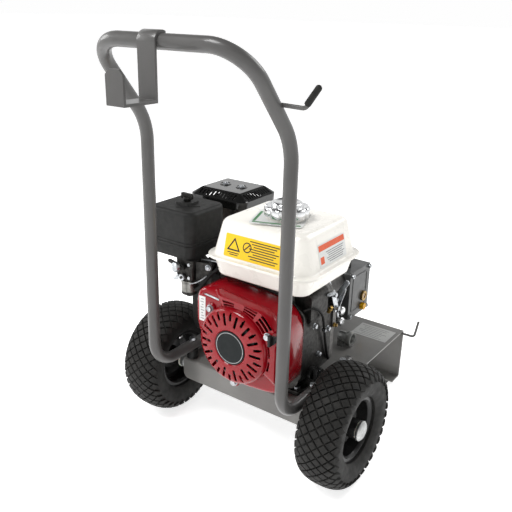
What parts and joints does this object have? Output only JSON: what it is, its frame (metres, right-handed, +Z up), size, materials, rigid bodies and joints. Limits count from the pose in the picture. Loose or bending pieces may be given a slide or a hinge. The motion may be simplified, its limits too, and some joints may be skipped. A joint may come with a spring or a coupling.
{
  "type": "pressure washer",
  "caption": "Petrol-engined pressure washer on a two-wheeled tubular hand cart, with a plunger pump, a lance cradle and hose hooks.",
  "frame": {"origin": "centre of the bounding box, at ground level", "axes": "+X to the operator's right, +Y away from the operator, +Z up"},
  "size_m": [0.4752, 0.655, 0.7496],
  "materials": {
    "grey_enamel": "glossy grey stoving enamel",
    "tyre": "moulded black rubber with block tread",
    "black_rim": "satin black enamel",
    "zinc": "zinc plated",
    "black_rubber": "matt black rubber",
    "nylon": "natural nylon",
    "red_enamel": "glossy red enamel",
    "die_cast": "bare die casting",
    "cast_iron": "machined",
    "white_enamel": "glossy white enamel",
    "chrome": "polished",
    "black_plastic": "moulded black plastic",
    "black_shield": "glossy black heat-proof enamel",
    "pump_grey": "dark grey powder coat",
    "brass": "machined",
    "foam": "pleated paper and foam",
    "yellow_plastic": "moulded"
  },
  "bodies": {
    "cart": {"handle_frame": "grey_enamel", "lance_cradle": "grey_enamel", "storage_hooks": "grey_enamel", "tray": "grey_enamel", "foot_pads": "black_rubber", "rail_mounts": "black_rubber", "rail_bolts": "zinc", "axle": "zinc", "wheel_retainers": "zinc", "engine_block": "red_enamel", "side_cover": "die_cast", "main_bearings": "brass", "engine_bolts": "zinc", "cylinder_head": "die_cast", "valve_cover": "die_cast", "spark_plug": "zinc", "plug_cap": "black_rubber", "fan_shroud": "red_enamel", "recoil_cover": "red_enamel", "tank_upper": "white_enamel", "tank_lower": "white_enamel", "air_cleaner_base": "black_plastic", "air_cleaner_cover": "black_plastic", "air_filter": "foam", "carburettor": "die_cast", "muffler": "black_shield", "heat_shield": "black_shield", "pump_adaptor": "pump_grey", "pump_crankcase": "pump_grey", "pump_side_cover": "pump_grey", "cover_screws": "zinc", "sight_glass": "brass", "drain_plug": "yellow_plastic", "pump_head": "brass", "valve_caps": "brass", "unloader": "brass", "outlet_fitting": "chrome", "inlet_coupling": "zinc"},
    "crankshaft": {"crankshaft": "cast_iron", "flywheel": "cast_iron", "pump_shaft": "cast_iron"},
    "starter_reel": {"starter_reel": "black_plastic"},
    "starter_grip": {"starter_grip": "black_rubber"},
    "fuel_cap": {"fuel_cap": "chrome", "fuel_cap_gasket": "black_rubber"},
    "air_cleaner_nut": {"air_cleaner_nut": "black_plastic"},
    "choke_lever": {"choke_lever": "zinc"},
    "fuel_tap_lever": {"fuel_tap_lever": "zinc"},
    "throttle_lever": {"throttle_lever": "zinc"},
    "governor_arm": {"governor_arm": "zinc"},
    "engine_switch": {"engine_switch": "black_plastic"},
    "dipstick": {"dipstick": "black_plastic"},
    "pump_oil_cap": {"pump_oil_cap": "black_plastic"},
    "unloader_knob": {"unloader_knob": "black_plastic"},
    "wheel_left": {"tyre_left": "tyre", "rim_left": "black_rim", "wheel_bushes_left": "nylon"},
    "wheel_right": {"tyre_right": "tyre", "rim_right": "black_rim", "wheel_bushes_right": "nylon"}
  },
  "joints": [
    {"name": "wheel_left_spin", "type": "hinge", "parent": "cart", "child": "wheel_left", "pos_m": [-0.1975, -0.0355, 0.11], "axis": [1, 0, 0], "continuous": true},
    {"name": "wheel_right_spin", "type": "hinge", "parent": "cart", "child": "wheel_right", "pos_m": [0.1975, -0.0355, 0.11], "axis": [1, 0, 0], "continuous": true},
    {"name": "crankshaft_spin", "type": "hinge", "parent": "cart", "child": "crankshaft", "pos_m": [0.015, -0.0355, 0.234], "axis": [0, 1, 0], "continuous": true},
    {"name": "starter_pull", "type": "slide", "parent": "cart", "child": "starter_grip", "axis": [0.769, 0, 0.6392], "range_m": [0, 0.5], "stiffness_N_per_m": 6, "springref_m": -0.5},
    {"name": "starter_reel_spin", "type": "hinge", "parent": "cart", "child": "starter_reel", "pos_m": [0.015, -0.1095, 0.234], "axis": [0, 1, 0], "range_deg": [0, 800]},
    {"name": "fuel_cap_turn", "type": "hinge", "parent": "cart", "child": "fuel_cap", "pos_m": [0.042, 0.0005, 0.45], "axis": [0, 0, 1], "range_deg": [0, 90]},
    {"name": "air_cleaner_nut_turn", "type": "hinge", "parent": "cart", "child": "air_cleaner_nut", "pos_m": [-0.1625, -0.024, 0.443], "axis": [0, 0, 1], "continuous": true},
    {"name": "choke_turn", "type": "hinge", "parent": "cart", "child": "choke_lever", "pos_m": [-0.132, -0.076, 0.332], "axis": [0, -1, 0], "range_deg": [0, 30]},
    {"name": "fuel_tap_turn", "type": "hinge", "parent": "cart", "child": "fuel_tap_lever", "pos_m": [-0.132, -0.076, 0.312], "axis": [0, -1, 0], "range_deg": [0, 60]},
    {"name": "throttle_turn", "type": "hinge", "parent": "cart", "child": "throttle_lever", "pos_m": [0.098, 0.091, 0.272], "axis": [0, -1, 0], "range_deg": [-45, 15]},
    {"name": "governor_turn", "type": "hinge", "parent": "cart", "child": "governor_arm", "pos_m": [0.098, 0.0975, 0.238], "axis": [0, -1, 0], "range_deg": [-15.1, 5.1]},
    {"name": "engine_switch_turn", "type": "hinge", "parent": "cart", "child": "engine_switch", "pos_m": [0.092, -0.1065, 0.27], "axis": [0, 1, 0], "range_deg": [0, 60]},
    {"name": "dipstick_turn", "type": "hinge", "parent": "cart", "child": "dipstick", "pos_m": [0.103, 0.0045, 0.158], "axis": [1, 0, 0], "continuous": true},
    {"name": "pump_oil_cap_turn", "type": "hinge", "parent": "cart", "child": "pump_oil_cap", "pos_m": [0.034, 0.2565, 0.275], "axis": [0, 0, 1], "continuous": true},
    {"name": "unloader_knob_turn", "type": "hinge", "parent": "cart", "child": "unloader_knob", "pos_m": [-0.0885, 0.2765, 0.31], "axis": [0, 0, 1], "range_deg": [0, 1080]}
  ],
  "couplings": [
    {"joint": "starter_reel_spin", "follows": "starter_pull", "rad_per_m": 23.256},
    {"joint": "governor_turn", "follows": "throttle_turn", "ratio": 0.33333}
  ]
}
